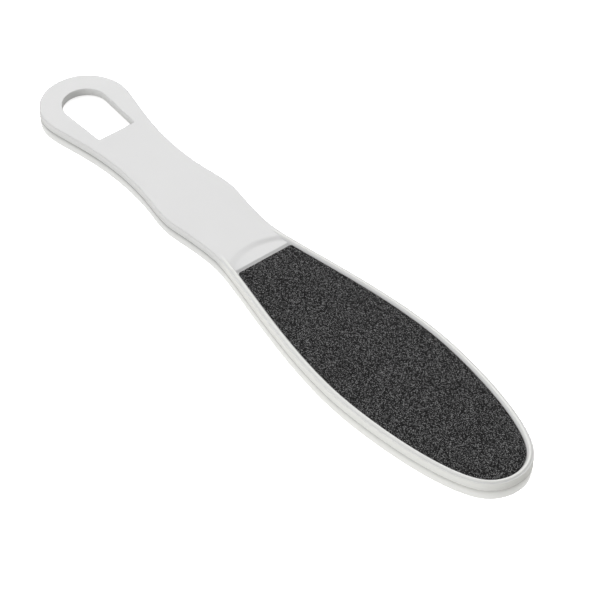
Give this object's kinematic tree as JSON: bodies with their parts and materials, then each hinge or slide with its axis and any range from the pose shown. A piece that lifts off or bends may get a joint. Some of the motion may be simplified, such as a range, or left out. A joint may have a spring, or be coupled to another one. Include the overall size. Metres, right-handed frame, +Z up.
{
  "type": "foot file",
  "caption": "Slim moulded paddle foot file with a hanging hole, waisted grip, thumb rests and a rimmed pocket on each face holding a bonded abrasive sheet.",
  "frame": {"origin": "centre of the outline on the surface that the file lies on with its rims", "axes": "+X from the handle end to the tip, +Y across the paddle, +Z up through the upper face"},
  "size_m": [0.25, 0.046, 0.0039],
  "materials": {
    "white_moulding": "smooth gloss moulded plastic",
    "adhesive_film": "translucent pressure-sensitive film",
    "waterproof_paper": "latex-filled waterproof paper",
    "coarse_grit": "coarse silicon carbide grains in black resin",
    "fine_grit": "fine silicon carbide grains in black resin"
  },
  "bodies": {
    "root": {"handle_body": "white_moulding", "coarse_adhesive": "adhesive_film", "coarse_paper": "waterproof_paper", "coarse_grit": "coarse_grit", "fine_adhesive": "adhesive_film", "fine_paper": "waterproof_paper", "fine_grit": "fine_grit"}
  },
  "joints": []
}
